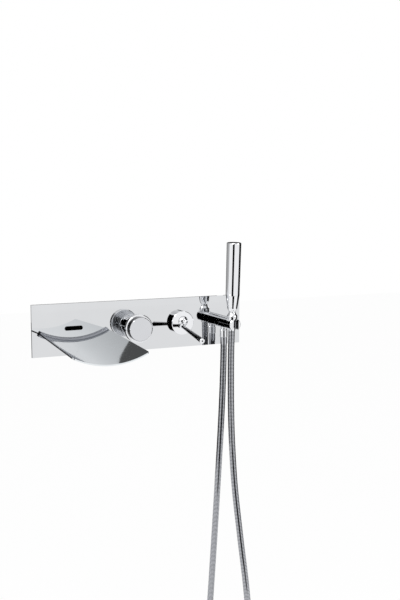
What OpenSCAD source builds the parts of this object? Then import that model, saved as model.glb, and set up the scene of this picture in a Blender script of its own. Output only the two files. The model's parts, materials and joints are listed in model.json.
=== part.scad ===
// Wall mounted bath faucet: mirror plate, waterfall blade, diverter knob, joystick mixer,
// shower arm with holder, hose and stick hand shower, and the body concealed in the wall.
// Millimetres. X runs along the plate, -Y out of the wall, +Z up.
// The origin is on the wall's face, behind the plate's centre.

/* [Node] */
// Which sub-part to draw

/* [Wall plate] */
// Plate length along the wall
plate_len = 435; // [380:1:520]
// Plate height
plate_h = 100; // [90:1:130]
// Plate thickness
plate_t = 5; // [3:0.5:8]
// Gasket thickness between plate and wall
gasket_t = 1; // [0.5:0.25:2]
// Width of the gasket's rim
gasket_rim = 8; // [4:1:12]

/* [Water slot] */
// Distance of the spout's middle from the plate's left end
spout_off = 81; // [72:0.5:95]
// Slot width
slot_w = 36; // [24:1:44]
// Slot height
slot_h = 8.5; // [5:0.5:11]
// Height of the slot above the plate's middle
slot_z = 2; // [0:0.5:5]

/* [Spout blade] */
// Blade width
blade_w = 135; // [110:1:150]
// Blade reach from the plate
blade_reach = 223; // [150:1:260]
// Dip of the blade's middle below its edges
blade_sag = 16.5; // [13:0.5:20]
// Downward slope of the blade in degrees
blade_slope = 2.4; // [0:0.2:6]
// Blade sheet thickness
blade_t = 2.5; // [1.5:0.1:4]
// Drop of the blade's edges below the plate's middle
blade_drop = 4.5; // [3:0.5:8]
// Corner radius at the blade's front
blade_corner = 4; // [1:0.5:12]
// Thickness of the round bead along the blade's root
bead_d = 10.5; // [7:0.5:12]

/* [Diverter knob] */
// Distance of the knob from the plate's left end
knob_off = 196.5; // [185:0.5:215]
// Knob head diameter
head_d = 55; // [44:1:60]
// Knob head depth
head_t = 20; // [14:0.5:24]
// Distance of the knob's front face from the plate
knob_out = 57; // [48:1:70]
// Knob neck diameter
neck_d = 36; // [32:1:40]
// Thickness of the cap on the knob's front
cap_t = 8.5; // [4:0.5:10]
// Width of the bevel round the cap's front
cap_bevel = 1; // [0.5:0.25:3]
// Slope of that bevel in degrees
cap_slope = 45; // [20:1:50]

/* [Joystick mixer] */
// Distance of the mixer from the plate's right end
mixer_off = 133.5; // [120:0.5:145]
// Flange diameter
flange_d = 47; // [44:0.5:52]
// Flange depth
flange_t = 14; // [13:0.5:18]
// Joystick ball diameter
ball_d = 22; // [20:0.5:23]
// Depth of the ball's centre behind the flange's face
ball_sink = 5; // [4:0.25:6]
// Height of the ball's centre above the flange's centre
ball_up = 3.5; // [0:0.25:4]
// Lever length from the ball's centre plane to its end
lever_len = 116; // [80:1:130]
// Lever diameter at its root
lever_root_d = 6; // [5:0.5:8]
// Lever diameter at its end
lever_end_d = 9.8; // [8:0.2:12]
// Downward angle of the lever at rest
lever_down = 7.6; // [0:0.2:12]
// Sideways angle of the lever at rest
lever_side = 2.1; // [0:0.1:6]

/* [Shower arm] */
// Distance of the arm from the plate's right end
arm_off = 49.5; // [42:0.5:60]
// Arm diameter
arm_d = 24; // [22:0.25:26]
// Arm length out of the plate
arm_out = 80; // [74:1:100]
// Distance of the holder's axis from the plate
holder_out = 64; // [56:0.5:66]
// Distance of the hose outlet from the plate
outlet_out = 27.5; // [20:0.5:32]
// Outward lean of the hand shower in its holder
shower_tilt = 3; // [0:0.5:6]

/* [Hand shower] */
// Diameter of the grip at its foot
grip_d = 27.6; // [24:0.2:32]
// Diameter of the grip at its top
grip_top_d = 28.6; // [24:0.2:34]
// Height of the hand shower above the arm's axis
shower_top = 162; // [150:1:220]
// Height of the seam between taper and grip
seam_z = 58; // [50:1:66]
// Height of the top of the waist
waist_top = 33; // [30:1:38]
// Waist diameter
waist_d = 13; // [12.5:0.25:16]
// Foot collar diameter
foot_d = 21.6; // [20:0.2:24]
// Nozzle rows along the spray face
nozzle_rows = 11; // [6:1:14]
// Nozzle diameter
nozzle_d = 2; // [1.5:0.1:2.6]

/* [Hose] */
// Outside diameter of the ribbed metal hose
hose_d = 13; // [12:0.25:13.2]

/* [Concealed body] */
// Depth of the cartridge barrels behind the plate
barrel_len = 51; // [46:1:70]
// Diameter of the cross bar
bar_d = 20; // [16:1:24]
// Diameter of the threaded inlets
inlet_d = 20.955; // [20.5:0.005:21.5]
// Length of the inlets
inlet_len = 26; // [15:1:40]
// Length of the fixing studs behind the wall's face
stud_len = 44; // [40:1:60]

/* [Fits] */
// Radial clearance of running shafts
run_fit = 0.05; // [0.02:0.01:0.1]
// Radial clearance of parts pushed or screwed together
seat_fit = 0.05; // [0.02:0.01:0.1]
// Gap between parts that pass each other
air_gap = 0.4; // [0.3:0.05:0.6]

/* [Hidden] */
$fn = 64;
eps = 0.01;
far = 400;

steel = [0.86, 0.87, 0.88];
chrome = [0.8, 0.81, 0.83];
brass = [0.72, 0.6, 0.32];
black = [0.06, 0.06, 0.07];
nylon = [0.82, 0.83, 0.84];
rubber = [0.2, 0.2, 0.21];
ceramic = [0.75, 0.74, 0.7];

plate_back = -gasket_t;
plate_front = -gasket_t - plate_t;

spout_x = -plate_len / 2 + spout_off;
blade_r = (pow(blade_w / 2, 2) + pow(blade_sag, 2)) / (2 * blade_sag);
blade_half = asin(blade_w / 2 / blade_r);
arc_z = -blade_drop - blade_sag + blade_r;
bead_sunk = 1;
bead_y = plate_front - bead_d / 2 + bead_sunk;
bead_front = bead_d - 2 * bead_sunk;
bead_stud_d = 4;
bead_stud_deep = 3;
bead_stud_back = 8;
bead_nut_af = 7;
bead_nut_t = 3.2;
bead_stud_angle = blade_half - 5;

chamber_side = 9;
chamber_over = 8;
chamber_w = slot_w + 2 * chamber_side;
chamber_h = slot_h + 2 * chamber_over;
chamber_y = 42;
chamber_wall = 4;

knob_x = -plate_len / 2 + knob_off;
knob_z = 0;
knob_face = plate_front - knob_out;
head_back = knob_face + head_t;
head_front = knob_face + cap_t;
cap_rim = 4.5;
head_chamfer = 1.5;
neck_wall = 3;
hub_r = 9;
hub_gap = 6;
spindle_in = 8;
spindle_r = 5;
spindle_back = 30;
screw_r = 2;
screw_out = 19;
screw_y = plate_front - screw_out;
collar_t = 2.5;
collar_w = 4;

mixer_x = plate_len / 2 - mixer_off;
mixer_z = 0.5;
ball_x = mixer_x + 0.5;
ball_z = mixer_z + ball_up;
ball_r = ball_d / 2;
flange_face = plate_front - flange_t;
ball_y = flange_face + ball_sink;
face_wall = 2;
cavity_r = ball_r + 5.2;
spigot_r = cavity_r + 2.2;
lug_in = ball_r + 0.5;
lug_out = ball_r + 3.3;
lug_half = 4;
pin_r = 1.5;
lug_tip = 1;
carrier_r = ball_r + 4;
carrier_t = 5;
stem_r = 4;
stem_len = 12;
mixer_bore_r = spigot_r - 0.4;
mixer_barrel_r = mixer_bore_r + 5;
ring_back = 8;
carrier_gap = 0.2;

lever_dx = -3.8;
lever_dz = -7.8;
root_collar_r = 5.2;
root_collar_from = 6.4;
root_collar_mid = 10.5;
root_collar_to = 13;
lever_cap_t = 3;
lever_cap_lip = 0.3;
plug_r = 1.6;
plug_deep = 2;

diverter_bore_r = 14;
diverter_barrel_r = 19;

arm_x = plate_len / 2 - arm_off;
arm_r = arm_d / 2;
arm_end = plate_front - arm_out;
arm_tail = 20;
holder_y = plate_front - holder_out;
outlet_y = plate_front - outlet_out;
water_r = 5;
arm_socket_r = arm_r + 4.5;
arm_socket_len = 31;
oring_r = 1.2;
oring_at = [6, 13];

nipple_r = 6;
nipple_bore_r = 4;
nipple_top = -4.5;
nipple_bottom = -26.5;
nut_r = hose_d / 2 + 1.1;
nut_neck = 4;
nut_top = -arm_r - nut_neck;
nut_bottom = -31;
washer_t = 2;
nut_chamfer = 0.8;

cone_top_r = hose_d / 2 + 0.8;
cone_bottom_r = hose_d / 2 + 0.4;
cone_foot = -13;
liner_foot = -11.5;
liner_top = 9.5;
liner_rim_t = 1.5;
liner_wall = 0.95;
liner_rim_r = arm_r - 0.6;
slot_half = hose_d / 2 + 0.5;
foot_top = 15.2;
swivel_r = 5;
swivel_foot = 2;
inner_r = 3.5;
waist_z = 24.5;
waist_top_r = 10.2;
steps = 8;
wall_t = 2.6;
tube_gap = 0.2;
window_w = 16;
window_low = seam_z + 14;
window_high = shower_top - 12;
face_deep = 3;
face_y = sqrt(pow(grip_d / 2, 2) - pow(window_w / 2, 2));
nozzle_cols = [-4.5, 0, 4.5];
nozzle_proud = 1;
cap_h = 3.5;
cap_edge = 1.5;
cap_spigot = 4;

pipe_r = 7;
pipe_bore_r = 4.5;
pipe_y = 22;
pipe_z = -30;
bar_y = 30;
bar_bore_r = 6;
inlet_gap = 12;
inlet_bore_r = 7;

stud_r = 3;
stud_in_x = 17;
stud_in_z = 20;
stud_x = plate_len / 2 - stud_in_x;
stud_z = plate_h / 2 - stud_in_z;
panel_t = 28.5;
washer_r = 9;
panel_washer_t = 1.5;
nut_af = 10;
nut_t = 5;

// The hose's route, from the outlet nut to the cone nut
hose_r = hose_d / 2;
hose_gap = 0.1;
hose_top = [arm_x, outlet_y, nut_bottom - hose_gap];
hose_end = [arm_x, holder_y - (cone_foot - hose_gap) * sin(shower_tilt),
            (cone_foot - hose_gap) * cos(shower_tilt)];
route = [
    hose_top, [168, -33.5, -60], [166.3, -33.3, -130], [162.6, -32.5, -220], [157.5, -31, -320],
    [151.5, -29.2, -430], [145.5, -26.6, -540], [141.2, -23, -630], [139.9, -20.4, -679],
    [142.9, -26.8, -708.4], [151, -46.2, -729.2], [162, -73, -737], [173, -99.8, -729.2],
    [181.1, -119.2, -708.4], [184.1, -126.6, -679], [184, -125.8, -635], [181, -115, -535],
    [175.8, -96.5, -430], [171, -80.5, -330], [168.8, -71.5, -240], [168.2, -67.8, -170],
    [168, -66.9, -110], [168, -67.3, -60], hose_end];
between = 3;
sides = 10;

function spline(a, b, c, d, t) =
    0.5 * (2 * b + (c - a) * t + (2 * a - 5 * b + 4 * c - d) * t * t
           + (3 * b - a - 3 * c + d) * t * t * t);
function held(p, i) = p[max(0, min(len(p) - 1, i))];
function smooth(p) = concat(
    [for (i = [0 : len(p) - 2]) for (k = [0 : between - 1])
        spline(held(p, i - 1), p[i], p[i + 1], held(p, i + 2), k / between)],
    [p[len(p) - 1]]);
function unit(v) = v / norm(v);
function along(p, i) = i == 0 ? [0, 0, -1]
    : i == len(p) - 1 ? [0, -sin(shower_tilt), cos(shower_tilt)]
    : unit(p[i + 1] - p[i - 1]);
function across(t) = unit(cross(t, [1, 0.3, 0]));

// A cylinder along Y from y0 (outer end) to y1 (inner end)
module ycyl(r, y0, y1, x = 0, z = 0) {
    translate([x, y1, z]) rotate([90, 0, 0]) cylinder(r = r, h = y1 - y0);
}

// A prism with n sides along Y
module yhex(af, y0, y1, x = 0, z = 0) {
    translate([x, y1, z]) rotate([90, 0, 0]) cylinder(r = af / 2 / cos(30), h = y1 - y0, $fn = 6);
}

// A revolved outline whose height points out of the wall
module yspin(x, y, z) {
    translate([x, y, z]) rotate([90, 0, 0]) rotate_extrude() children();
}

module holder_frame() {
    translate([arm_x, holder_y, 0]) rotate([shower_tilt, 0, 0]) children();
}

module lever_frame() {
    translate([ball_x + lever_dx, ball_y, ball_z + lever_dz])
        rotate([90 + lever_down, 0, -lever_side]) children();
}

module at_studs() {
    for (x = [-stud_x, stud_x], z = [-stud_z, stud_z]) translate([x, 0, z]) children();
}

module at_bead_studs() {
    for (a = [-bead_stud_angle, 0, bead_stud_angle])
        translate([spout_x + blade_r * sin(a), 0, arc_z - blade_r * cos(a)]) children();
}

module slot_shape(grow) {
    w = slot_w / 2 - slot_h / 2;
    r = slot_h / 2 + grow;
    for (s = [-w, w]) translate([spout_x + s, slot_z]) circle(r = r);
    translate([spout_x - w, slot_z - r]) square([2 * w, 2 * r]);
}

module slot_cut(y0, y1, grow) {
    translate([0, y1, 0]) rotate([90, 0, 0]) linear_extrude(y1 - y0) slot_shape(grow);
}

module plate_gasket() {
    color(rubber) difference() {
        translate([-plate_len / 2 + 1, -gasket_t, -plate_h / 2 + 1])
            cube([plate_len - 2, gasket_t, plate_h - 2]);
        translate([-plate_len / 2 + gasket_rim, -gasket_t - 1, -plate_h / 2 + gasket_rim])
            cube([plate_len - 2 * gasket_rim, gasket_t + 2, plate_h - 2 * gasket_rim]);
    }
}

module wall_plate() {
    color(steel) difference() {
        translate([-plate_len / 2, plate_front, -plate_h / 2]) cube([plate_len, plate_t, plate_h]);
        slot_cut(plate_front - 1, plate_back + 1, 0);
        ycyl(spigot_r + seat_fit, plate_front - 1, plate_back + 1, ball_x, ball_z);
        ycyl(spindle_r + 2, plate_front - 1, plate_back + 1, knob_x, knob_z);
        ycyl(arm_r + seat_fit, plate_front - 1, plate_back + 1, arm_x, 0);
        at_bead_studs() ycyl(bead_stud_d / 2 + seat_fit, plate_front - 1, plate_back + 1);
    }
}

module fixing_studs() {
    color(steel) at_studs() ycyl(stud_r, plate_back, stud_len);
}

module fixing_washers() {
    color(steel) at_studs() difference() {
        ycyl(washer_r, panel_t, panel_t + panel_washer_t);
        ycyl(stud_r + 2 * seat_fit, panel_t - 1, panel_t + panel_washer_t + 1);
    }
}

module fixing_nuts() {
    y0 = panel_t + panel_washer_t;
    color(brass) at_studs() difference() {
        yhex(nut_af, y0, y0 + nut_t);
        ycyl(stud_r + seat_fit, y0 - 1, y0 + nut_t + 1);
    }
}

module inlets(r, y0, y1) {
    for (s = [-inlet_gap, inlet_gap]) ycyl(r, y0, y1, ball_x + s, ball_z);
}

// The pipe from the diverter to the arm, with its round corners
module shower_pipe(r) {
    translate([knob_x, pipe_y, pipe_z]) rotate([0, 90, 0]) cylinder(r = r, h = arm_x - knob_x);
    for (x = [knob_x, arm_x]) translate([x, pipe_y, pipe_z]) {
        sphere(r = r);
        cylinder(r = r, h = -pipe_z);
    }
}

module cross_bar(r, x0, x1) {
    translate([x0, bar_y, 0]) rotate([0, 90, 0]) cylinder(r = r, h = x1 - x0);
}

module valve_body() {
    back = barrel_len + plate_back;
    color(brass) difference() {
        union() {
            ycyl(mixer_barrel_r, plate_back, back, ball_x, ball_z);
            ycyl(diverter_barrel_r, plate_back, back, knob_x, knob_z);
            ycyl(arm_socket_r, plate_back, arm_socket_len, arm_x, 0);
            translate([spout_x - chamber_w / 2, plate_back, slot_z - chamber_h / 2])
                cube([chamber_w, chamber_y, chamber_h]);
            cross_bar(bar_d / 2, spout_x, ball_x);
            shower_pipe(pipe_r);
            inlets(inlet_d / 2, back - chamber_wall, back + inlet_len);
        }
        ycyl(mixer_bore_r, plate_back - 1, back - 6, ball_x, ball_z);
        ycyl(diverter_bore_r, plate_back - 1, back - 6, knob_x, knob_z);
        ycyl(arm_r + seat_fit, plate_back - 1, arm_tail + 0.2, arm_x, 0);
        ycyl(water_r, arm_tail - 1, arm_socket_len - 3, arm_x, 0);
        slot_cut(plate_back - 1, plate_back + chamber_wall, 0);
        translate([spout_x - chamber_w / 2 + chamber_wall, plate_back + chamber_wall - eps,
                slot_z - chamber_h / 2 + chamber_wall])
            cube([chamber_w - 2 * chamber_wall, chamber_y - 2 * chamber_wall,
                chamber_h - 2 * chamber_wall]);
        cross_bar(bar_bore_r, spout_x + chamber_w / 4, ball_x);
        shower_pipe(pipe_bore_r);
        inlets(inlet_bore_r, back - 7, back + inlet_len + 1);
    }
}

// The bead's outline, x from the arc's centre and y out of the wall
module bead_shape() {
    intersection() {
        translate([blade_r, -bead_y]) circle(r = bead_d / 2);
        translate([0, -plate_front]) square([2 * blade_r, bead_front]);
    }
}

module bead_arc() {
    translate([spout_x, 0, arc_z]) rotate([90, 0, 0]) rotate([0, 0, 270 - blade_half])
        rotate_extrude(angle = 2 * blade_half, $fn = 180) bead_shape();
}

// The blade's cross-section as an arc of sheet, wider than the blade
module blade_arc() {
    w = blade_w / 2 + blade_t;
    intersection() {
        translate([0, arc_z]) difference() {
            circle(r = blade_r + blade_t / 2, $fn = 180);
            circle(r = blade_r - blade_t / 2, $fn = 180);
        }
        translate([-w, arc_z - 2 * blade_r]) square([2 * w, 2 * blade_r - blade_t]);
    }
}

module blade_plan() {
    w = blade_w / 2;
    c = blade_corner;
    l = blade_reach - bead_front;
    translate([spout_x, plate_front - blade_reach]) {
        translate([-w, c]) square([2 * w, l - c]);
        translate([c - w, 0]) square([2 * (w - c), l]);
        for (s = [-1, 1]) translate([s * (w - c), c]) circle(r = c);
    }
}

module spout_blade() {
    color(steel) intersection() {
        translate([spout_x, plate_front, 0]) rotate([90 + blade_slope, 0, 0])
            linear_extrude(2 * blade_reach) blade_arc();
        translate([0, 0, -far / 2]) linear_extrude(far) blade_plan();
    }
}

module spout_bead() {
    color(chrome) difference() {
        bead_arc();
        at_bead_studs()
            ycyl(bead_stud_d / 2 + seat_fit, plate_front - bead_stud_deep, plate_front + 1);
    }
}

module bead_studs() {
    color(steel) at_bead_studs()
        ycyl(bead_stud_d / 2, plate_front - bead_stud_deep, bead_stud_back);
}

module bead_nuts() {
    color(steel) at_bead_studs() difference() {
        yhex(bead_nut_af, plate_back, plate_back + bead_nut_t);
        ycyl(bead_stud_d / 2 + seat_fit, plate_back - 1, plate_back + bead_nut_t + 1);
    }
}

module mixer_flange() {
    color(chrome) difference() {
        union() {
            ycyl(flange_d / 2, flange_face + 1, plate_front, mixer_x, mixer_z);
            translate([mixer_x, flange_face + 1, mixer_z]) rotate([90, 0, 0])
                cylinder(r1 = flange_d / 2, r2 = flange_d / 2 - 1, h = 1);
            ycyl(spigot_r, plate_front - 1, plate_back, ball_x, ball_z);
        }
        ycyl(cavity_r, flange_face + face_wall, plate_back + 1, ball_x, ball_z);
        translate([ball_x, ball_y, ball_z]) sphere(r = ball_r + air_gap);
    }
}

module mixer_cartridge() {
    color(ceramic) difference() {
        ycyl(mixer_bore_r - seat_fit, ring_back, barrel_len + plate_back - 6, ball_x, ball_z);
        ycyl(stem_r + run_fit, ring_back - 1, ring_back + stem_len + 1, ball_x, ball_z);
    }
}

module mixer_ring() {
    color(brass) difference() {
        ycyl(mixer_bore_r - seat_fit, 0, ring_back, ball_x, ball_z);
        ycyl(carrier_r + air_gap, -1, ring_back + 1, ball_x, ball_z);
    }
}

module mixer_carrier() {
    back = ring_back - carrier_gap;
    color(steel) difference() {
        union() {
            ycyl(carrier_r, back - carrier_t, back, ball_x, ball_z);
            ycyl(stem_r, back - 1, back + stem_len, ball_x, ball_z);
            for (s = [-1, 1])
                translate([ball_x + s * (lug_in + lug_out) / 2,
                        (ball_y - pin_r - lug_tip + back - carrier_t + 1) / 2, ball_z])
                    cube([lug_out - lug_in, back - carrier_t + 1 - ball_y + pin_r + lug_tip,
                        2 * lug_half], center = true);
        }
        translate([ball_x - far / 2, ball_y, ball_z]) rotate([0, 90, 0])
            cylinder(r = pin_r + seat_fit / 2, h = far);
    }
}

module tilt_pin() {
    color(steel) translate([ball_x - lug_out, ball_y, ball_z]) rotate([0, 90, 0])
        cylinder(r = pin_r, h = 2 * lug_out);
}

module joystick_ball() {
    color(chrome) translate([ball_x, ball_y, ball_z]) difference() {
        sphere(r = ball_r);
        translate([-ball_d, 0, 0]) rotate([0, 90, 0]) cylinder(r = pin_r + run_fit, h = 2 * ball_d);
    }
}

module lever_collar() {
    color(chrome) difference() {
        lever_frame() translate([0, 0, root_collar_from]) {
            cylinder(r = root_collar_r, h = root_collar_mid - root_collar_from);
            translate([0, 0, root_collar_mid - root_collar_from])
                cylinder(r1 = root_collar_r, r2 = lever_root_d / 2 + 0.4,
                    h = root_collar_to - root_collar_mid);
        }
        translate([ball_x, ball_y, ball_z]) sphere(r = ball_r);
    }
}

module lever_rod() {
    color(chrome) lever_frame() translate([0, 0, root_collar_to])
        cylinder(r1 = lever_root_d / 2, r2 = lever_end_d / 2,
            h = lever_len - lever_cap_t - root_collar_to);
}

module lever_cap() {
    r = lever_end_d / 2 + lever_cap_lip;
    color(steel) lever_frame() translate([0, 0, lever_len - lever_cap_t]) difference() {
        union() {
            cylinder(r = r, h = lever_cap_t - 1);
            translate([0, 0, lever_cap_t - 1]) cylinder(r1 = r, r2 = r - 0.8, h = 1);
        }
        translate([0, 0, lever_cap_t - plug_deep]) cylinder(r = plug_r, h = plug_deep + 1);
    }
}

module lever_plug() {
    color(black) lever_frame() translate([0, 0, lever_len - plug_deep])
        cylinder(r = plug_r - seat_fit / 2, h = plug_deep - 0.2);
}

module diverter_cartridge() {
    color(ceramic) difference() {
        ycyl(diverter_bore_r - seat_fit, ring_back, barrel_len + plate_back - 6, knob_x, knob_z);
        ycyl(spindle_r + run_fit, ring_back - 1, spindle_back + 1, knob_x, knob_z);
    }
}

module diverter_ring() {
    color(brass) difference() {
        ycyl(diverter_bore_r - seat_fit, 0, ring_back, knob_x, knob_z);
        ycyl(spindle_r + air_gap, -1, ring_back + 1, knob_x, knob_z);
    }
}

module knob_collar() {
    color(chrome) difference() {
        ycyl(neck_d / 2 + collar_w, plate_front - collar_t, plate_front, knob_x, knob_z);
        ycyl(neck_d / 2 + air_gap, plate_front - collar_t - 1, plate_front + 1, knob_x, knob_z);
    }
}

module knob_spindle() {
    color(steel) ycyl(spindle_r, head_back - spindle_in, spindle_back, knob_x, knob_z);
}

// A radial hole or screw under the knob
module knob_radial(r, z0, z1) {
    translate([knob_x, screw_y, knob_z + z0]) cylinder(r = r, h = z1 - z0);
}

module knob_neck() {
    color(chrome) difference() {
        ycyl(neck_d / 2, head_back, plate_front - air_gap, knob_x, knob_z);
        ycyl(neck_d / 2 - neck_wall, head_back - 1, plate_front, knob_x, knob_z);
        knob_radial(screw_r + 2 * seat_fit, -neck_d, 0);
    }
}

module knob_head() {
    r = head_d / 2;
    t = head_back - head_front;
    c = head_chamfer;
    color(chrome) difference() {
        union() {
            yspin(knob_x, head_back, knob_z)
                polygon([[0, 0], [r - c, 0], [r, c], [r, t - c], [r - c, t], [0, t]]);
            ycyl(hub_r, head_back - 1, plate_front - hub_gap, knob_x, knob_z);
        }
        ycyl(spindle_r + seat_fit / 2, head_back - spindle_in, plate_front, knob_x, knob_z);
        knob_radial(screw_r + seat_fit / 2, -neck_d, 0);
    }
}

module knob_cap() {
    r = head_d / 2 - cap_rim;
    color(steel) yspin(knob_x, head_front, knob_z)
        polygon([[0, 0], [r, 0], [r, cap_t - cap_bevel * tan(cap_slope)], [r - cap_bevel, cap_t],
            [0, cap_t]]);
}

module knob_screw() {
    color(black) knob_radial(screw_r, -neck_d / 2 + 0.6, -spindle_r - 0.1);
}

module shower_arm() {
    color(chrome) difference() {
        union() {
            ycyl(arm_r, arm_end + 1, arm_tail, arm_x, 0);
            translate([arm_x, arm_end + 1, 0]) rotate([90, 0, 0])
                cylinder(r1 = arm_r, r2 = arm_r - 1, h = 1);
        }
        ycyl(water_r, outlet_y - water_r, arm_tail + 1, arm_x, 0);
        translate([arm_x, outlet_y, -2 * arm_r])
            cylinder(r = nipple_r + seat_fit, h = 2 * arm_r + nipple_top + 0.2);
        for (y = oring_at) translate([arm_x, y, 0]) rotate([90, 0, 0]) rotate_extrude()
            translate([arm_r, 0]) square([4 * oring_r, 2 * oring_r + 0.2], center = true);
        holder_frame() {
            translate([0, 0, -far / 2]) cylinder(r = cone_top_r + liner_wall + seat_fit, h = far);
            translate([-slot_half, -far, -far / 2]) cube([2 * slot_half, far, far]);
            translate([0, 0, liner_top - liner_rim_t]) cylinder(r = liner_rim_r + 0.3, h = far);
        }
    }
}

module arm_orings() {
    color(rubber) for (y = oring_at) translate([arm_x, y, 0]) rotate([90, 0, 0]) rotate_extrude()
        translate([arm_r - oring_r, 0]) circle(r = oring_r - seat_fit, $fn = 24);
}

module outlet_nipple() {
    color(brass) translate([arm_x, outlet_y, nipple_bottom]) difference() {
        cylinder(r = nipple_r, h = nipple_top - nipple_bottom);
        translate([0, 0, -1]) cylinder(r = nipple_bore_r, h = nipple_top - nipple_bottom + 2);
    }
}

module outlet_nut() {
    h = nut_top - nut_bottom;
    color(chrome) translate([arm_x, outlet_y, nut_bottom]) difference() {
        rotate_extrude() polygon([[0, 0], [nut_r - nut_chamfer, 0], [nut_r, nut_chamfer],
            [nut_r, h - nut_chamfer], [nut_r - nut_chamfer, h], [0, h]]);
        translate([0, 0, -1]) cylinder(r = nipple_bore_r, h = h);
        translate([0, 0, nipple_bottom - washer_t - nut_bottom])
            cylinder(r = nipple_r + seat_fit, h = h);
    }
}

module outlet_washer() {
    color(rubber) translate([arm_x, outlet_y, nipple_bottom - washer_t]) difference() {
        cylinder(r = nipple_r, h = washer_t);
        translate([0, 0, -1]) cylinder(r = nipple_bore_r, h = washer_t + 2);
    }
}

module cone(grow, z0, z1) {
    slope = (cone_top_r - cone_bottom_r) / (liner_top - cone_foot);
    translate([0, 0, z0]) cylinder(r1 = cone_bottom_r + slope * (z0 - cone_foot) + grow,
        r2 = cone_bottom_r + slope * (z1 - cone_foot) + grow, h = z1 - z0);
}

module holder_liner() {
    color(nylon) holder_frame() difference() {
        union() {
            translate([0, 0, liner_foot])
                cylinder(r = cone_top_r + liner_wall, h = liner_top - liner_rim_t - liner_foot);
            translate([0, 0, liner_top - liner_rim_t]) cylinder(r = liner_rim_r, h = liner_rim_t);
        }
        cone(2 * run_fit, liner_foot - 1, liner_top + 1);
        translate([-slot_half, -far, -far / 2]) cube([2 * slot_half, far, far]);
    }
}

module hose() {
    rings = smooth(route);
    n = len(rings);
    points = [for (i = [0 : n - 1]) let (t = along(rings, i), u = across(t), v = cross(t, u))
        for (k = [0 : sides - 1]) rings[i] + hose_r * (cos(360 * k / sides) * u
            + sin(360 * k / sides) * v)];
    skin = [for (i = [0 : n - 2]) for (k = [0 : sides - 1]) let (m = (k + 1) % sides)
        [i * sides + k, (i + 1) * sides + k, (i + 1) * sides + m, i * sides + m]];
    first = [for (k = [0 : sides - 1]) k];
    last = [for (k = [sides - 1 : -1 : 0]) (n - 1) * sides + k];
    color(chrome) polyhedron(points = points, faces = concat(skin, [first, last]));
}

module cone_nut() {
    color(chrome) holder_frame() difference() {
        union() {
            cone(0, cone_foot, liner_top);
            translate([0, 0, liner_top]) cylinder(r1 = foot_d / 2 - 0.6, r2 = foot_d / 2,
                h = foot_top - liner_top);
        }
        translate([0, 0, cone_foot - 1]) cylinder(r = inner_r, h = far);
        translate([0, 0, swivel_foot]) cylinder(r = swivel_r + run_fit, h = far);
    }
}

// Radius of the hand shower's foot and waist at height z
function foot_r(z) = z < waist_z
    ? waist_d / 2 + (foot_d - waist_d) / 2 * (0.5 + 0.5 * cos(180 * (z - foot_top) / (waist_z - foot_top)))
    : waist_d / 2 + (waist_top_r - waist_d / 2)
        * (0.5 - 0.5 * cos(180 * (z - waist_z) / (waist_top - waist_z)));

module shower_foot() {
    low = foot_top + tube_gap / 2;
    color(chrome) holder_frame() difference() {
        union() {
            rotate_extrude() polygon(concat([[0, low]],
                [for (k = [0 : 2 * steps]) let (z = k < steps
                    ? low + (waist_z - low) * k / steps
                    : waist_z + (waist_top - waist_z) * (k - steps) / steps) [foot_r(z), z]],
                [[0, waist_top]]));
            translate([0, 0, swivel_foot + tube_gap]) cylinder(r = swivel_r, h = waist_z - swivel_foot);
        }
        translate([0, 0, -far / 2]) cylinder(r = inner_r, h = far);
    }
}

module shower_taper() {
    h = seam_z - waist_top;
    color(chrome) holder_frame() translate([0, 0, waist_top]) difference() {
        cylinder(r1 = waist_top_r, r2 = grip_d / 2, h = h);
        translate([0, 0, -1]) cylinder(r = inner_r, h = far);
        translate([0, 0, wall_t]) cylinder(r1 = waist_top_r - wall_t, r2 = grip_d / 2 - wall_t,
            h = h - wall_t + eps);
    }
}

module window(play, y0, y1) {
    translate([-window_w / 2 + play, y0, window_low + play])
        cube([window_w - 2 * play, y1 - y0, window_high - window_low - 2 * play]);
}

module shower_grip() {
    h = shower_top - cap_h - seam_z;
    color(chrome) holder_frame() difference() {
        translate([0, 0, seam_z + tube_gap])
            cylinder(r1 = grip_d / 2, r2 = grip_top_d / 2, h = h - tube_gap);
        translate([0, 0, seam_z - 1]) cylinder(r = grip_d / 2 - wall_t, h = h + 2);
        window(0, 0, far);
    }
}

module shower_cap() {
    r = grip_top_d / 2;
    color(chrome) holder_frame() translate([0, 0, shower_top - cap_h]) union() {
        rotate_extrude() polygon([[0, 0], [r, 0], [r, cap_h - cap_edge], [r - 0.4, cap_h - 0.5],
            [r - cap_edge, cap_h], [0, cap_h]]);
        translate([0, 0, -cap_spigot]) cylinder(r = grip_d / 2 - wall_t - seat_fit, h = cap_spigot + 1);
    }
}

module at_nozzles() {
    pitch = (window_high - window_low - 10) / (nozzle_rows - 1);
    for (x = nozzle_cols, k = [0 : nozzle_rows - 1])
        translate([x, 0, window_low + 5 + k * pitch]) rotate([-90, 0, 0]) children();
}

module spray_face() {
    color(nylon) holder_frame() difference() {
        window(seat_fit, face_y - face_deep, face_y);
        at_nozzles() cylinder(r = nozzle_d / 2 + seat_fit, h = far);
    }
}

module spray_nozzles() {
    color(rubber) holder_frame() at_nozzles()
        translate([0, 0, face_y - face_deep]) cylinder(r = nozzle_d / 2, h = face_deep + nozzle_proud);
}

plate_gasket();
wall_plate();
fixing_studs();
fixing_washers();
fixing_nuts();
valve_body();
spout_blade();
spout_bead();
bead_studs();
bead_nuts();
mixer_flange();
mixer_cartridge();
mixer_ring();
mixer_carrier();
tilt_pin();
joystick_ball();
lever_collar();
lever_rod();
lever_cap();
lever_plug();
diverter_cartridge();
diverter_ring();
knob_collar();
knob_spindle();
knob_neck();
knob_head();
knob_cap();
knob_screw();
shower_arm();
arm_orings();
outlet_nipple();
outlet_nut();
outlet_washer();
holder_liner();
hose();
cone_nut();
shower_foot();
shower_taper();
shower_grip();
shower_cap();
spray_face();
spray_nozzles();
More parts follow.
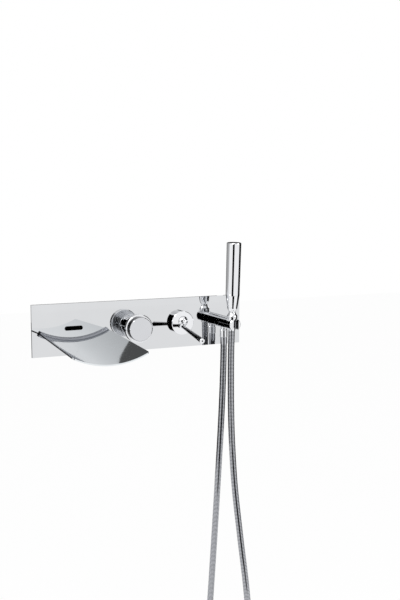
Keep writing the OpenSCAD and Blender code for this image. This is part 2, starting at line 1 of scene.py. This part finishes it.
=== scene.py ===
# %% [markdown]
# # Wall mounted bath faucet
# A mirror-polished plate carries a curved waterfall blade, a diverter knob, a joystick mixer
# and a shower arm. A stick hand shower stands in the arm's holder, on a ribbed metal hose.
# The solids come from the CAD model and keep their shapes. This script models the hose, gives
# each solid its finish and builds the room that the metal mirrors.
# Lengths are metres. X runs along the plate, -Y out of the wall and +Z up.

# %% Load the model
import json
import math

import bpy
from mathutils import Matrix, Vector


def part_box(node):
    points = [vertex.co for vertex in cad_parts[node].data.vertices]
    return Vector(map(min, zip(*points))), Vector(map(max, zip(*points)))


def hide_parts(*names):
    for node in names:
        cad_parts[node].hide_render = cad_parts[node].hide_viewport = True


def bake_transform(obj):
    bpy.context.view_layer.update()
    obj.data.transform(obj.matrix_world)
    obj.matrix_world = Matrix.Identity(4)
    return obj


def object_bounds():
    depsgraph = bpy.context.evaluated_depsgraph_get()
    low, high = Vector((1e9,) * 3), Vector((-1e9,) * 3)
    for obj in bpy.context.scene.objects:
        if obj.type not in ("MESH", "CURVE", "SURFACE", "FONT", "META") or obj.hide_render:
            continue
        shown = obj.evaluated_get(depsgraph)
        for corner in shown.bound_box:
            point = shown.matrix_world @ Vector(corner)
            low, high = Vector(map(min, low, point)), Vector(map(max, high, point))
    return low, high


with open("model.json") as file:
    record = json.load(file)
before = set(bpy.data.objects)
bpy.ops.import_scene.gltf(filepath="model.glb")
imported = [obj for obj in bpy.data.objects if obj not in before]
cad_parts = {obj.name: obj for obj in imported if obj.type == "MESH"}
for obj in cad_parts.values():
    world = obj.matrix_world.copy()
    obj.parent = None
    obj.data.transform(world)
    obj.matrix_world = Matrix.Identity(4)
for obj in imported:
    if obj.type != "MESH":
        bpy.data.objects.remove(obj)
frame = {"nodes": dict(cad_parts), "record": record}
cad_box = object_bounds()
scene = bpy.context.scene
plate_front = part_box("wall_plate")[0].y

# %% [markdown]
# ## Camera
# The camera stands 1.74 m away, to the left of the plate and a little above it. It could be
# placed by typing its location, but angles and a distance round a target are easier to read:
# each of them changes one thing in the view.

# %% Camera
CAMERA_AZIMUTH = math.radians(24.55)
CAMERA_ELEVATION = math.radians(6.7)
CAMERA_DISTANCE = 1.743
CAMERA_LENS_MM = 51.6
CAMERA_SENSOR_MM = 36
CAMERA_REACH = 50
camera_target = Vector((0.1279, plate_front, 0.043))
to_camera = Vector((
    -math.sin(CAMERA_AZIMUTH) * math.cos(CAMERA_ELEVATION),
    -math.cos(CAMERA_AZIMUTH) * math.cos(CAMERA_ELEVATION),
    math.sin(CAMERA_ELEVATION),
))

camera_data = bpy.data.cameras.new("camera")
camera_data.lens = CAMERA_LENS_MM
camera_data.sensor_width = CAMERA_SENSOR_MM
camera_data.clip_end = CAMERA_REACH
camera = bpy.data.objects.new("camera", camera_data)
scene.collection.objects.link(camera)
camera.location = camera_target + CAMERA_DISTANCE * to_camera
camera.rotation_euler = (-to_camera).to_track_quat("-Z", "Y").to_euler()
scene.camera = camera
print("camera at", [round(v, 3) for v in camera.location])

# %% [markdown]
# ## Hose
# The real hose is a strip of plated metal wound into a tube, 1.5 m long, with a seam at each
# turn. It hangs in one free loop from the outlet nut under the arm to the cone nut in the
# holder, and a plain sleeve covers its end at the outlet nut. A curve with a round bevel would
# be quicker, but its material couldn't tell a seam from a rib. A mesh tube can, because its
# points carry values, so rings of points are set along the route instead.
# The route repeats the CAD model's points, in metres.

# %% Hose sizes and route
HOSE_DIAMETER = 0.013
HOSE_LENGTH = 1.5
HOSE_ROUTE = [
    (0.168, -0.0335, -0.0311), (0.168, -0.0335, -0.060), (0.1663, -0.0333, -0.130),
    (0.1626, -0.0325, -0.220), (0.1575, -0.031, -0.320), (0.1515, -0.0292, -0.430),
    (0.1455, -0.0266, -0.540), (0.1412, -0.023, -0.630), (0.1399, -0.0204, -0.679),
    (0.1429, -0.0268, -0.7084), (0.151, -0.0462, -0.7292), (0.162, -0.073, -0.737),
    (0.173, -0.0998, -0.7292), (0.1811, -0.1192, -0.7084), (0.1841, -0.1266, -0.679),
    (0.184, -0.1258, -0.635), (0.181, -0.115, -0.535), (0.1758, -0.0965, -0.430),
    (0.171, -0.0805, -0.330), (0.1688, -0.0715, -0.240), (0.1682, -0.0678, -0.170),
    (0.168, -0.0669, -0.110), (0.168, -0.0673, -0.060), (0.168, -0.0693, -0.0131),
]
print("hose route:", len(HOSE_ROUTE), "points")

# %% Rings along the hose
RIB_PITCH = 0.0028
# Each rib's rings: the place as a share of the pitch, the size as a share of the hose's.
RIB_SHAPE = [(0.0, 1.0), (0.62, 1.0), (0.7, 0.95), (0.92, 0.95)]
SLEEVE_RIBS = 5
SLEEVE_SIZE = 1.07
CURVE_STEPS = 20


def spline_point(points, i, t):
    """The point a share t of the way from points[i] to the next, on a smooth curve."""
    last = len(points) - 1
    a, b, c, d = (points[max(0, min(last, k))] for k in (i - 1, i, i + 1, i + 2))
    square = (2 * a - 5 * b + 4 * c - d) * t * t
    cube = (3 * b - a - 3 * c + d) * t * t * t
    return 0.5 * (2 * b + (c - a) * t + square + cube)


def curve_points(points, shares):
    """Points at these shares of the length of the smooth curve, in rising order."""
    fine = [spline_point(points, i, k / CURVE_STEPS)
            for i in range(len(points) - 1) for k in range(CURVE_STEPS)]
    fine.append(points[-1])
    total = sum((b - a).length for a, b in zip(fine, fine[1:]))
    out, walked, k = [], 0.0, 0
    for share in shares:
        while k < len(fine) - 2 and walked + (fine[k + 1] - fine[k]).length < share * total:
            walked += (fine[k + 1] - fine[k]).length
            k += 1
        part = (share * total - walked) / (fine[k + 1] - fine[k]).length
        out.append(fine[k].lerp(fine[k + 1], min(part, 1.0)))
    return out


rib_count = round(HOSE_LENGTH / RIB_PITCH)
hose_rings = [((n + place) / rib_count, SLEEVE_SIZE if n < SLEEVE_RIBS else size)
              for n in range(rib_count) for place, size in RIB_SHAPE]
hose_rings.append((1.0, 1.0))
hose_centres = curve_points(
    [Vector(point) for point in HOSE_ROUTE], [share for share, size in hose_rings])
print("hose ribs:", rib_count, "rings:", len(hose_rings))

# %% Hose mesh
HOSE_SIDES = 18


def mesh_piece(name, points, faces):
    """A new object with this mesh, at the origin."""
    mesh = bpy.data.meshes.new(name)
    mesh.from_pydata(points, [], faces)
    piece = bpy.data.objects.new(name, mesh)
    scene.collection.objects.link(piece)
    return piece


def tube(name, centres, radii, sides):
    """A closed mesh tube round the centres, with one radius for each."""
    points, faces = [], []
    side = Vector((1, 0, 0))
    for i, (centre, radius) in enumerate(zip(centres, radii)):
        ahead = centres[min(i + 1, len(centres) - 1)] - centres[max(i - 1, 0)]
        ahead.normalize()
        side = (side - ahead * side.dot(ahead)).normalized()
        other = ahead.cross(side)
        for k in range(sides):
            angle = 2 * math.pi * k / sides
            points.append(centre + radius * (math.cos(angle) * side + math.sin(angle) * other))
    for i in range(len(centres) - 1):
        for k in range(sides):
            m = (k + 1) % sides
            faces.append((i * sides + k, i * sides + m, (i + 1) * sides + m, (i + 1) * sides + k))
    faces.append(tuple(reversed(range(sides))))
    faces.append(tuple(range((len(centres) - 1) * sides, len(centres) * sides)))
    piece = mesh_piece(name, points, faces)
    piece.data.shade_smooth()
    return piece


hose = tube("ribbed_hose", hose_centres,
            [HOSE_DIAMETER / 2 * size for share, size in hose_rings], HOSE_SIDES)
print("hose mesh:", len(hose.data.vertices), "points")

# %% [markdown]
# The seams need painted shade and crisp edges. An image could hold the seams, but the mesh
# already knows where they are, so two attributes say it: "groove" is 1 on the thin rings, where
# the hose's finish is painted dark as shade, and "sharp_edge" keeps each ring's edges crisp.

# %% Seams
groove = hose.data.attributes.new("groove", "FLOAT", "POINT")
groove.data.foreach_set(
    "value", [float(size < 1) for share, size in hose_rings for k in range(HOSE_SIDES)])
crisp = hose.data.attributes.new("sharp_edge", "BOOLEAN", "EDGE")
crisp.data.foreach_set("value", [
    a // HOSE_SIDES == b // HOSE_SIDES for a, b in (edge.vertices for edge in hose.data.edges)])
print("thin rings:", sum(size < 1 for share, size in hose_rings))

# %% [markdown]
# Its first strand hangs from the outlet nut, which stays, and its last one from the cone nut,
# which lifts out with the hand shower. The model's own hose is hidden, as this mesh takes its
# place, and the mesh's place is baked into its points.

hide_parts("hose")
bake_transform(hose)
print("hose declared:", HOSE_LENGTH, "m long,", HOSE_DIAMETER, "m across")

# %% [markdown]
# ## Shader maths
# A finish is a network of nodes. Wiring it link by link is long and hard to read, so a Wire
# stands for an output socket and sums on wires add the Math nodes. Every other new node comes
# from Network.node.


# %% Wires and networks
class Wire:
    """An output socket of a network, which can be used in sums."""

    def __init__(self, network, socket):
        self.network = network
        self.socket = socket

    def math(self, operation, *others, clamp=False):
        return self.network.node(
            "ShaderNodeMath", self, *others, settings={"operation": operation, "use_clamp": clamp})

    def __add__(self, other):
        return self.math("ADD", other)

    def __sub__(self, other):
        return self.math("SUBTRACT", other)

    def __rsub__(self, other):
        return self * -1.0 + other

    def __mul__(self, other):
        return self.math("MULTIPLY", other)

    __radd__ = __add__
    __rmul__ = __mul__

    def clipped(self, start, end):
        """0 at start and 1 at end, straight between them and level beyond."""
        return (self - start).math("MULTIPLY", 1 / (end - start), clamp=True)

    def near(self, middle, reach, fade):
        """1 within reach of the middle, falling to 0 over the next stretch of fade."""
        return (self - middle).math("ABSOLUTE").clipped(reach + fade, reach)

    def between(self, first, second):
        """A colour that goes from first to second as this goes from 0 to 1."""
        return self.network.node(
            "ShaderNodeMix", self, first, second, settings={"data_type": "RGBA"})


def connect(tree, value, socket):
    """Joins a wire to a socket, or sets a plain value on it."""
    if isinstance(value, Wire):
        tree.links.new(value.socket, socket)
        return
    if socket.type == "RGBA" and len(value) == 3:
        value = (*value, 1.0)
    socket.default_value = value


def in_use(sockets):
    """The sockets that a node has with its present settings."""
    return [socket for socket in sockets if socket.enabled]


class Network:
    """The nodes of a material or of the world."""

    def __init__(self, owner):
        owner.use_nodes = True
        self.tree = owner.node_tree

    def fill(self, node, **values):
        """Sets or links the node's sockets by name, with _ for a space."""
        for name, value in values.items():
            connect(self.tree, value, node.inputs[name.replace("_", " ")])

    def node(self, kind, *values, output=0, settings=None, **named):
        """Makes a node: first its settings, then its sockets in use, by place or by name."""
        node = self.tree.nodes.new(kind)
        for name, value in (settings or {}).items():
            setattr(node, name, value)
        for socket, value in zip(in_use(node.inputs), values):
            connect(self.tree, value, socket)
        self.fill(node, **named)
        if isinstance(output, str):
            return Wire(self, node.outputs[output])
        return Wire(self, in_use(node.outputs)[output])


class Finish(Network):
    """A new material's network, with its Principled shader."""

    def __init__(self, name, **fixed):
        self.material = bpy.data.materials.new(name)
        super().__init__(self.material)
        self.shader = self.tree.nodes["Principled BSDF"]
        self.set(**fixed)

    def set(self, **values):
        self.fill(self.shader, **values)

    def place(self, stretch=(1, 1, 1)):
        point = self.node("ShaderNodeTexCoord", output="Object")
        return self.node("ShaderNodeMapping", point, Scale=stretch)

    def axes(self):
        """The three coordinates in the piece's own space."""
        place = self.place()
        return [self.node("ShaderNodeSeparateXYZ", place, output=axis) for axis in "XYZ"]

    def noise(self, scale, detail=3.0, stretch=(1, 1, 1)):
        return self.node("ShaderNodeTexNoise", self.place(stretch), Scale=scale, Detail=detail)

    def relief(self, height, depth):
        """Raises the surface by height, from 0 to 1, times depth in metres."""
        self.set(Normal=self.node("ShaderNodeBump", Height=height, Distance=depth, Strength=1.0))


print("shader helpers:", [helper.__name__ for helper in (Wire, Network, Finish)])

# %% [markdown]
# ## Polished metal
# Chrome plating is nearly even. What tells it from a perfect mirror is a faint haze, wiping
# smears and, on cast parts, a waviness called orange peel. Scratch images could do this, but
# noise in the piece's own space has no seams and moves with the piece.

# %% Polished metal
CHROME = (0.86, 0.87, 0.89)
HAZE_SCALE = 14.0
HAZE_SHADE = 0.97
SMEAR_SCALE = 60.0
PEEL_SCALE = 900.0
PEEL_DEPTH = 0.000002


def hazed(finish, colour):
    """The colour, slightly darker in patches."""
    shaded = [HAZE_SHADE * part for part in colour]
    return finish.noise(HAZE_SCALE).clipped(0.3, 0.7).between(shaded, colour)


def orange_peel(finish):
    """A very shallow relief, as plating has."""
    finish.relief(finish.noise(PEEL_SCALE, 1.0), PEEL_DEPTH)


def polished(name, colour, rough, peel=True):
    """Bright plated metal, with orange peel unless it is ground flat."""
    finish = Finish(name, Metallic=1.0)
    smear = finish.noise(SMEAR_SCALE, 4.0, (1, 1, 0.25)).clipped(0.45, 0.8)
    haze = finish.noise(HAZE_SCALE).clipped(0.4, 0.7)
    finish.set(
        Base_Color=hazed(finish, colour),
        Roughness=rough + 0.03 * smear + 0.02 * haze,
    )
    if peel:
        orange_peel(finish)
    return finish.material


print("polished metal: haze at", HAZE_SCALE, "and smears at", SMEAR_SCALE)

# %% [markdown]
# ## Painted shade on the bright metal
# The side of the knob's cap, the walls of the holder's slot and the seams of the hose are
# painted dark as shade, and so is a line along the middle of the rod where the spout meets the
# plate. Separate pieces could show them, but the solids have their shapes already, so the place
# of a point chooses between two colours. Places come from the frame where it holds them.

# %% Places to paint shade
# The colour of the painted shade on the bright metal.
PAINTED_SHADE = (0.05, 0.05, 0.055)
cap_low, cap_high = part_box("knob_cap")
CAP_MIDDLE = ((cap_low.x + cap_high.x) / 2, (cap_low.z + cap_high.z) / 2)
CAP_RADIUS = (cap_high.x - cap_low.x) / 2
liner_low, liner_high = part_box("holder_liner")
ARM_X = (liner_low.x + liner_high.x) / 2
SLOT_HALF = HOSE_DIAMETER / 2 + 0.0005
SLOT_BACK_Y = -0.0725
SLOT_EDGE = 0.0002
# The rod follows an arc in the plate's plane: its centre, as X and Z, and its radius.
BEAD_CENTRE = (-0.1365, 0.1253)
BEAD_ARC = 0.1463
# The line of painted shade along the rod's middle: its half width and its fade.
BEAD_SHADE_REACH = 0.0006
BEAD_SHADE_FADE = 0.0016


def from_line(across, height, centre):
    """The distance from a line along Y, whose X and Z are given as its centre."""
    sideways = across - centre[0]
    upright = height - centre[1]
    return (sideways * sideways + upright * upright).math("SQRT")


def cap_side_shade(axes):
    """1 on the side of the knob's cap, where shade is painted, 0 on its face."""
    across, _, height = axes
    reach = from_line(across, height, CAP_MIDDLE)
    return reach.clipped(CAP_RADIUS - 0.0006, CAP_RADIUS - 0.0003)


def slot_wall_shade(axes):
    """1 on the walls of the holder's slot, where shade is painted, 0 elsewhere on the arm."""
    across, depth, _ = axes
    aside = across.near(ARM_X, SLOT_HALF + SLOT_EDGE, SLOT_EDGE)
    return aside * depth.clipped(SLOT_BACK_Y + 0.001, SLOT_BACK_Y)


def with_painted_shade(name, colour, rough, region):
    """Bright plated metal with painted shade in one region of the object."""
    finish = Finish(name, Metallic=1.0)
    dark = region(finish.axes())
    finish.set(
        Base_Color=dark.between(hazed(finish, colour), PAINTED_SHADE),
        Roughness=rough + 0.03 * finish.noise(SMEAR_SCALE) + 0.1 * dark,
    )
    orange_peel(finish)
    return finish.material


def bead_metal(name):
    """Grey plated rod with a line of painted shade along its middle."""
    finish = Finish(name, Metallic=1.0)
    across, _, height = finish.axes()
    line = from_line(across, height, BEAD_CENTRE).near(BEAD_ARC, BEAD_SHADE_REACH, BEAD_SHADE_FADE)
    finish.set(
        Base_Color=line.between((0.29, 0.3, 0.33), (0.08, 0.085, 0.1)),
        Roughness=0.2 + 0.06 * finish.noise(SMEAR_SCALE),
    )
    return finish.material


def hose_metal(name):
    """Plated metal strip, with painted shade in the seams between its turns."""
    finish = Finish(name, Metallic=1.0)
    seam = finish.node(
        "ShaderNodeAttribute", output="Fac", settings={"attribute_name": "groove"})
    finish.set(
        Base_Color=seam.between((0.53, 0.54, 0.57), (0.07, 0.075, 0.085)),
        Roughness=0.05 + 0.06 * finish.noise(180.0) + 0.15 * seam,
    )
    return finish.material


print("cap radius:", round(CAP_RADIUS, 4), "arm at x", round(ARM_X, 4))

# %% [markdown]
# ## Plain metal, plastic and rubber
# Cast brass, steel, ceramic and moulded parts mostly hide behind the plate. They need little
# more than the right colour and grain, so each is one noise for its patches and one for its
# relief. The valve's water way is painted dark inside, as shade, and its place is that of the
# model's water slot.

# %% Plain metal, plastic and rubber
BRASS = (0.7, 0.53, 0.26)
DULL_BRASS = (0.5, 0.36, 0.16)
# The painted shade inside the valve's water way.
WATER_WAY_SHADE = (0.01, 0.01, 0.01)
# How far the painted shade reaches from the water slot's middle, and how far back it goes.
SHADE_HALF_WIDTH = 0.0225
SHADE_HALF_HEIGHT = 0.0085
SHADE_BACK_Y = 0.0375
openings = {entry["name"]: entry["box_m"] for entry in frame["record"]["physics"]["openings"]}
slot_low, slot_high = (Vector(corner) for corner in openings["water_slot"])
slot_middle = (slot_low + slot_high) / 2


def plain_metal(name, colour, dull, rough, grain, depth):
    """Unpolished metal with a cast or brushed grain."""
    finish = Finish(name, Metallic=1.0)
    grains = finish.noise(grain)
    finish.set(
        Base_Color=finish.noise(35.0, 5.0).clipped(0.35, 0.7).between(dull, colour),
        Roughness=rough + 0.15 * grains,
    )
    finish.relief(grains, depth)
    return finish.material


def cast_body(name):
    """Cast brass, with painted shade inside its water way."""
    finish = Finish(name, Metallic=1.0)
    across, depth, height = finish.axes()
    aside = across.near(slot_middle.x, SHADE_HALF_WIDTH, 0.003)
    upright = height.near(slot_middle.z, SHADE_HALF_HEIGHT, 0.001)
    inside = aside * upright * depth.clipped(SHADE_BACK_Y + 0.001, SHADE_BACK_Y)
    grains = finish.noise(700.0)
    brass = finish.noise(35.0, 5.0).clipped(0.35, 0.7).between(DULL_BRASS, BRASS)
    finish.set(
        Base_Color=inside.between(brass, WATER_WAY_SHADE),
        Roughness=0.3 + 0.15 * grains + 0.4 * inside,
    )
    finish.relief(grains, 0.00002)
    return finish.material


def moulded(name, colour, dull, rough, grain, depth):
    """Moulded plastic, rubber or ceramic with a fine grain."""
    finish = Finish(name, Metallic=0.0)
    grains = finish.noise(grain, 2.0)
    finish.set(
        Base_Color=finish.noise(40.0).clipped(0.3, 0.7).between(dull, colour),
        Roughness=rough + 0.1 * grains,
    )
    finish.relief(grains, depth)
    return finish.material


print("water slot's middle:", [round(v, 4) for v in slot_middle])

# %% [markdown]
# ## The finishes
# One table holds every finish: how it is made, its colour and its roughness. The last two
# numbers of a plain finish are its grain's scale and depth. A table keeps alike finishes side
# by side, so that one can be judged against the next.

# %% Table of finishes
RECIPES = {
    "mirror_plate": (polished, (0.72, 0.73, 0.745), 0.012, False),
    "chrome": (polished, CHROME, 0.03),
    # The side of the knob's cap is painted with shade.
    "satin_cap": (with_painted_shade, (0.68, 0.69, 0.715), 0.05, cap_side_shade),
    # The walls of the holder's slot are painted with shade.
    "arm_chrome": (with_painted_shade, CHROME, 0.03, slot_wall_shade),
    "brushed_head": (polished, (0.82, 0.83, 0.85), 0.2),
    "hose_metal": (hose_metal,),
    "blade": (polished, (0.80, 0.83, 0.85), 0.04, False),
    "bead": (bead_metal,),
    "dark_lever": (polished, (0.16, 0.16, 0.17), 0.05),
    "cast_body": (cast_body,),
    "brass": (plain_metal, BRASS, DULL_BRASS, 0.3, 700, 0.00002),
    "steel": (plain_metal, (0.6, 0.6, 0.61), (0.45, 0.45, 0.47), 0.25, 900, 0.00001),
    "seal_rubber": (moulded, (0.03, 0.03, 0.032), (0.018, 0.018, 0.02), 0.6, 1500, 0.00002),
    "nozzle_rubber": (moulded, (0.4, 0.41, 0.42), (0.3, 0.31, 0.32), 0.5, 1500, 0.00001),
    "ceramic": (moulded, (0.75, 0.73, 0.68), (0.68, 0.66, 0.6), 0.4, 900, 0.00001),
    "liner_plastic": (moulded, (0.75, 0.76, 0.78), (0.68, 0.69, 0.71), 0.25, 900, 0.000005),
    "black_plastic": (moulded, (0.012, 0.012, 0.013), (0.008, 0.008, 0.008), 0.35, 900, 0.00001),
}
FINISHES = {name: recipe(name, *values) for name, (recipe, *values) in RECIPES.items()}
print("finishes:", len(FINISHES))

# %% Put the finishes on
slots = {entry["node"]: entry["material_slot"] for entry in frame["record"]["subparts"]}
slots.update({
    "spout_blade": "blade", "spout_bead": "bead", "valve_body": "cast_body",
    "lever_rod": "dark_lever", "knob_head": "brushed_head", "shower_arm": "arm_chrome",
})
for name, node in frame["nodes"].items():
    node.data.materials.clear()
    node.data.materials.append(FINISHES[slots[name]])
hose.data.materials.append(FINISHES["hose_metal"])
print("finishes not used:", sorted(set(FINISHES) - set(slots.values())))

# %% [markdown]
# ## Stage
# Polished metal shows the room more than itself: its dark and pale bands are what stands round
# it. Painting bands on the metal would leave them in place when a piece moves. So the room is
# white, and upright cards that only reflections see stand where dark and grey are wanted.


# %% Cards
FLOOR_Z = cad_box[0][2] - 0.02
FOOT = FLOOR_Z + 0.01
CARD_CENTRE = Vector((0.05, plate_front, 0))
# Azimuths in degrees from straight out of the wall, heights, distance from the cards' centre,
# and the glow at the foot and at the top.
CARDS = {
    "dark_front": ((-40, -10), (FOOT, 1.1), 1.55, 0.0, 0.0),
    "dark_front_low": ((-24, 10), (FOOT, -0.4), 1.15, 0.0, 0.0),
    "dark_right": ((66, 110), (FOOT, 2.2), 1.8, 0.01, 0.01),
    "dark_behind_right": ((110, 150), (FOOT, 2.2), 1.6, 0.02, 0.02),
    "dark_behind": ((150, 190), (FOOT, 1.9), 1.3, 0.08, 0.08),
    "grey_behind_left": ((190, 235), (-0.2, 1.9), 1.6, 0.38, 0.38),
    "grey_left": ((235, 262), (-0.2, 1.9), 1.6, 0.5, 0.5),
    "dark_low_left": ((190, 262), (FOOT, -0.2), 1.6, 0.05, 0.05),
    "dark_edge": ((22, 46), (0.12, 0.5), 2.2, 0.02, 0.02),
    "grey_high": ((-6, 60), (0.4, 2.2), 2.3, 1.0, 0.35),
}


def card(name, azimuths, heights, distance, foot_glow, top_glow):
    """An upright card that only reflections see, facing the plate."""
    angle = math.radians(sum(azimuths) / 2)
    middle = CARD_CENTRE + distance * Vector((math.sin(angle), -math.cos(angle), 0))
    half = distance * math.tan(math.radians(azimuths[1] - azimuths[0]) / 2)
    across = half * Vector((math.cos(angle), math.sin(angle), 0))
    low, high = (Vector((0, 0, height)) for height in heights)
    corners = [middle + across + low, middle - across + low,
               middle - across + high, middle + across + high]
    piece = mesh_piece(name, corners, [(0, 1, 2, 3)])
    finish = Finish(name, Base_Color=(0, 0, 0), Roughness=1.0, Specular_IOR_Level=0.0)
    rise = finish.axes()[2].clipped(*heights)
    finish.set(
        Emission_Color=rise.between([foot_glow] * 3, [top_glow] * 3), Emission_Strength=1.0)
    piece.data.materials.append(finish.material)
    piece.visible_camera = False
    piece.visible_diffuse = False
    piece.visible_shadow = False
    piece.visible_transmission = False


for name, row in CARDS.items():
    card(name, *row)
print("cards:", len(CARDS))

# %% [markdown]
# The background has to be plain white, though the object is lit at an ordinary level. More
# light would also whiten the object. So the Light Path node asks which ray is looking: the
# camera, and rays that metal or glass send on, see white, and the rest see the lit room. The
# Standard view shows colours as they are written, so a strength of 1 is white.

# %% White room
WHITE = (1, 1, 1)
ROOM_GLOW = 0.8


def see_white(network, shader, white, share=1.0):
    """Camera, glossy and transmitted rays see a share of plain white in place of the shader."""
    camera_ray, glossy_ray, transmitted_ray = (
        network.node("ShaderNodeLightPath", output=name)
        for name in ("Is Camera Ray", "Is Glossy Ray", "Is Transmission Ray"))
    seen = (camera_ray + glossy_ray + transmitted_ray).math("MINIMUM", 1.0)
    return network.node("ShaderNodeMixShader", seen * share, shader, white)


world = bpy.data.worlds.new("world")
scene.world = world
room = Network(world)
background = room.tree.nodes["Background"]
room.fill(background, Color=WHITE, Strength=ROOM_GLOW)
room_white = room.node("ShaderNodeBackground", WHITE, 1.0)
room_seen = see_white(room, Wire(room, background.outputs[0]), room_white)
room.fill(room.tree.nodes["World Output"], Surface=room_seen)
scene.view_settings.view_transform = "Standard"
print("room glow:", ROOM_GLOW)

# %% Floor
FLOOR_HALF = 6
FLOOR_WHITE_SHARE = 0.92
floor = mesh_piece(
    "floor",
    [(-FLOOR_HALF, -FLOOR_HALF, FLOOR_Z), (FLOOR_HALF, -FLOOR_HALF, FLOOR_Z),
     (FLOOR_HALF, FLOOR_HALF, FLOOR_Z), (-FLOOR_HALF, FLOOR_HALF, FLOOR_Z)],
    [(0, 1, 2, 3)])
floor_finish = Finish("floor", Base_Color=(0.95, 0.95, 0.95), Roughness=0.8)
floor_lit = Wire(floor_finish, floor_finish.shader.outputs[0])
floor_white = floor_finish.node("ShaderNodeEmission", WHITE, 1.0)
floor_seen = see_white(floor_finish, floor_lit, floor_white, FLOOR_WHITE_SHARE)
floor_finish.fill(floor_finish.tree.nodes["Material Output"], Surface=floor_seen)
floor.data.materials.append(floor_finish.material)
print("floor at", round(FLOOR_Z, 3))

# %% [markdown]
# Two area lights give the object its shading. Point lamps would be simpler, but they leave
# small hard highlights on round metal, and wide lamps leave soft ones. Both face the origin,
# which is at the plate.

# %% Lights
# Place, size in metres and power in watts.
LAMPS = {
    "key": ((-1.4, -1.8, 2.2), 1.5, 30),
    "fill": ((1.8, -1.6, 1.0), 1.2, 12),
}


def area_light(name, place, size, power):
    data = bpy.data.lights.new(name, "AREA")
    data.size = size
    data.energy = power
    lamp = bpy.data.objects.new(name, data)
    scene.collection.objects.link(lamp)
    lamp.location = place
    lamp.rotation_euler = (-Vector(place)).to_track_quat("-Z", "Y").to_euler()


for name, row in LAMPS.items():
    area_light(name, *row)
print("lights:", sorted(LAMPS))
